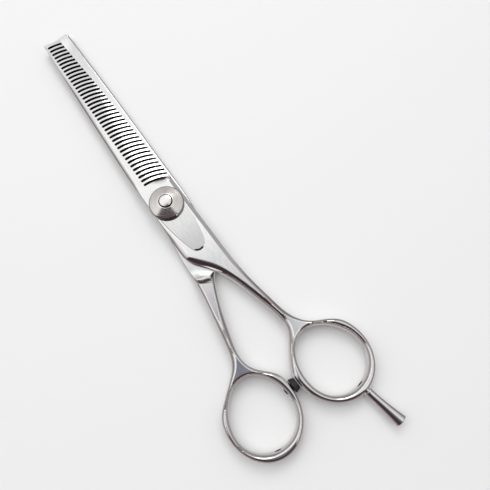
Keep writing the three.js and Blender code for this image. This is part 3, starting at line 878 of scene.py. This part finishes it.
def rolled(name, tint, metallic, low, high, grain=(1, 6, 1)):
    """Sheet or moulded stock: soft mottling in colour and gloss, and a fine surface grain."""
    material, tree, surface = shader(name, tint, metallic, low)
    where = add(tree, "ShaderNodeTexCoord").outputs["Object"]
    mottle = noise(tree, where, 700, 4, grain)
    fine = noise(tree, where, 6000, 2)
    shade = blend(tree, spread(tree, mottle, 0.3, 0.7, 0, 1), tint, darker(tint, 0.8))
    tree.links.new(shade, surface.inputs["Base Color"])
    tree.links.new(spread(tree, mottle, 0.3, 0.7, low, high), surface.inputs["Roughness"])
    tree.links.new(bump(tree, fine, 0.00002, 0.5), surface.inputs["Normal"])
    return material


# ---- The pieces on their bodies --------------------------------------------------------------

def settle(piece, material, body, slot, *nodes):
    """Gives a piece its material and its body, and hides the CAD nodes it replaces. The slot is not used.
    """
    piece.data.materials.clear()
    piece.data.materials.append(material)
    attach(piece, body)
    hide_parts(*nodes)


def paint(piece, marks, area):
    """Stores painted shade at the marks, rows of x, y and amount, and a satin finish on the seat inside an
    area.
    """
    tree = outline_tree([marks[:, :2]])
    points = np.array([v.co for v in piece.data.vertices]) / MM
    gap, row = clearance(points[:, :2], tree)
    painted_shade = np.where(gap < 0.01, marks[row, 2], 0)
    milled = inside(points[:, :2], [area]) & (abs(points[:, 2] - SEAT) < 0.02) & (points[:, 0] < 3)
    # The seat is greyer and rougher towards its closed end.
    satin = milled * (0.35 + 0.65 * ramp((-7 - points[:, 0]) / 9))
    for name, amount in (("painted_shade", painted_shade), ("satin", satin)):
        piece.data.attributes.new(name, "FLOAT", "POINT").data.foreach_set("value", amount)


steel = polished("mirror_polished_steel", (0.86, 0.855, 0.85))
blade_steel = polished("honed_blade_steel", (0.82, 0.82, 0.815), (14, 1, 14), 0.08, 0.15)
stud_steel = polished("polished_stud_steel", (0.84, 0.83, 0.82), (1, 1, 1), 0.03, 0.2)
satin = spun("spun_satin_steel", (0.92, 0.885, 0.85), (0, 0, 0), 0.16, 0.28, 1.0)
spring_steel = rolled("rolled_spring_steel", (0.60, 0.60, 0.60), 1.0, 0.25, 0.4)
bronze = rolled("turned_bearing_bronze", (0.60, 0.44, 0.26), 1.0, 0.25, 0.38)
ptfe = rolled("white_ptfe_sheet", (0.86, 0.85, 0.81), 0.0, 0.4, 0.55)
rubber = rolled("matte_moulded_rubber", (0.018, 0.018, 0.02), 0.0, 0.55, 0.75, (1, 1, 1))

whole, painted_shade_marks, milled_area = comb_half()
comb_piece = part(whole, "toothed_blade", COMB_WELD_X, True)
finger_piece = part(whole, "finger_shank_and_ring", COMB_WELD_X, False)
bpy.data.objects.remove(whole)
paint(comb_piece, painted_shade_marks, milled_area)
whole = plain_half()
plain_piece = part(whole, "plain_blade_body", PLAIN_WELD_X, True)
thumb_piece = part(whole, "thumb_shank_and_ring", PLAIN_WELD_X, False)
bpy.data.objects.remove(whole)
# The hole for the finger rest, the open tapped hole and the hole for the bumper's stem.
apply_cut(finger_piece, [drill(-78.3, -13.6, REST_ANGLE, 1.0, 7)])
apply_cut(thumb_piece, [drill(-78.9, 16.6, 172, 1.0, 6), drill(-66.2, 3.9, 90, 1.02, 4)])

settle(comb_piece, blade_steel, "comb_half", "polished_steel", "comb_blade")
settle(finger_piece, steel, "comb_half", "polished_steel", "finger_handle")
settle(plain_piece, blade_steel, "plain_half", "polished_steel", "plain_blade")
settle(thumb_piece, steel, "plain_half", "polished_steel", "thumb_handle")
settle(dial(), satin, "dial", "spun_steel", "tension_dial")
settle(screw(), stud_steel, "plain_half", "polished_steel", "pivot_screw")
settle(rubber_stop(), rubber, "plain_half", "black_rubber", "bumper")
settle(horn(), steel, "comb_half", "polished_steel", "finger_rest")
for node, material in (("friction_washer", ptfe), ("thrust_washer", spring_steel),
                       ("click_spring", spring_steel), ("pivot_bush", bronze)):
    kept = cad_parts[node]
    kept.data.materials.clear()
    kept.data.materials.append(material)


# ---- Camera, floor and light -----------------------------------------------------------------

def camera():
    """Looking down from above the shanks, with the blades running to the upper left."""
    data = bpy.data.cameras.new("camera")
    data.lens = 36
    data.sensor_width = 36
    data.clip_start = 0.005
    eye = bpy.data.objects.new("camera", data)
    forward = Vector((0.1932, -0.1456, -0.9703)).normalized()
    up = Vector((0.7749, -0.5839, 0.2419))
    right = forward.cross(up).normalized()
    up = right.cross(forward)
    turn = Matrix((right, up, -forward)).transposed()
    eye.matrix_world = Matrix.Translation(Vector((-53.8, 10.2, 149)) * MM) @ turn.to_4x4()
    bpy.context.scene.collection.objects.link(eye)
    bpy.context.scene.camera = eye


def floor():
    """A plain pale floor, left out of the steel's reflections."""
    mesh = bpy.data.meshes.new("floor")
    half = 1.6
    corners = [(-half, -half, 0), (half, -half, 0), (half, half, 0), (-half, half, 0)]
    mesh.from_pydata(corners, [], [(0, 1, 2, 3)])
    plane = bpy.data.objects.new("floor", mesh)
    plane.location.z = -0.0001
    bpy.context.scene.collection.objects.link(plane)
    material, _, _ = shader("pale_floor", (0.82, 0.82, 0.815), 0.0, 0.6, Specular_IOR_Level=0.2)
    mesh.materials.append(material)
    plane.visible_glossy = False


# Directions across the table: towards the person using the shears, and to their right.
NEAR = (-0.775, 0.584, 0)
RIGHT = (-0.602, -0.799, 0)

# Colours from straight down (0) past the horizon (0.5) to straight up (1), all round and on the near side.
SKY = ((0.0, (0.62, 0.61, 0.60)), (0.25, (0.46, 0.44, 0.43)), (0.42, (0.30, 0.25, 0.25)),
       (0.52, (0.21, 0.16, 0.17)), (0.6, (0.48, 0.46, 0.47)), (0.75, (0.84, 0.83, 0.83)),
       (0.88, (0.92, 0.92, 0.93)), (0.925, (1.12, 1.12, 1.12)), (0.97, (1.12, 1.12, 1.12)),
       (1.0, (0.66, 0.67, 0.69)))
NEAR_SKY = ((0.0, (0.50, 0.48, 0.47)), (0.35, (0.25, 0.19, 0.19)), (0.5, (0.13, 0.085, 0.085)),
            (0.62, (0.055, 0.034, 0.034)), (0.9, (0.045, 0.03, 0.032)), (1.0, (0.20, 0.20, 0.245)))
RIGHT_WALL = (0.10, 0.09, 0.10)
BACKDROP = (0.72, 0.72, 0.72)    # seen by the camera past the floor


def sky():
    """A bright soft ceiling and far wall, with the dim side of the room behind the viewer.

    The steel reflects this room, and the camera sees a plain backdrop instead."""
    world = bpy.data.worlds.new("studio")
    bpy.context.scene.world = world
    world.use_nodes = True
    tree = world.node_tree
    background = tree.nodes["Background"]
    way = add(tree, "ShaderNodeTexCoord").outputs["Generated"]
    turn = add(tree, "ShaderNodeSeparateXYZ", {0: way})
    height = math_node(tree, "MULTIPLY_ADD", turn.outputs[2], 0.5, 0.5)
    near = add(tree, "ShaderNodeVectorMath", {0: way, 1: NEAR}, operation="DOT_PRODUCT").outputs["Value"]
    side = add(tree, "ShaderNodeVectorMath", {0: way, 1: RIGHT}, operation="DOT_PRODUCT").outputs["Value"]
    side = math_node(tree, "ABSOLUTE", side)
    lit = graded(tree, height, SKY)
    dusk = graded(tree, height, NEAR_SKY)
    dim = smooth_step(tree, near, -0.21, -0.04)
    reach = math_node(tree, "MULTIPLY", math_node(tree, "MAXIMUM", near, 0.0), 1.3)
    beside = smooth_step(tree, math_node(tree, "SUBTRACT", side, reach), 0, 0.13)
    dim = math_node(tree, "MULTIPLY", dim, math_node(tree, "SUBTRACT", 1.0, beside))
    right_wall = smooth_step(tree, math_node(tree, "MULTIPLY", turn.outputs[1], -1.0), 0.15, 0.42)
    lit = blend(tree, math_node(tree, "MULTIPLY", right_wall, 0.3), lit, RIGHT_WALL)
    seen = add(tree, "ShaderNodeLightPath").outputs["Is Camera Ray"]
    color = blend(tree, seen, blend(tree, dim, lit, dusk), BACKDROP)
    tree.links.new(color, background.inputs["Color"])
    background.inputs["Strength"].default_value = 1.0


def softbox(name, place, target, size, power):
    """A rectangular area light, aimed at a target."""
    data = bpy.data.lights.new(name, "AREA")
    data.shape = "RECTANGLE"
    data.size, data.size_y = size
    data.energy = power
    light = bpy.data.objects.new(name, data)
    place, target = Vector(place), Vector(target)
    light.location = place
    light.rotation_euler = (target - place).to_track_quat("-Z", "Y").to_euler()
    bpy.context.scene.collection.objects.link(light)
    return light


camera()
floor()
sky()
softbox("key", (0.36, -0.34, 0.6), (0, 0, 0), (0.3, 0.3), 1.05)
softbox("fill", (0.25, 0.05, 0.8), (0.05, 0, 0), (1.0, 1.0), 4.3).visible_glossy = False
bpy.context.scene.view_settings.view_transform = "Standard"

bpy.context.view_layer.update()
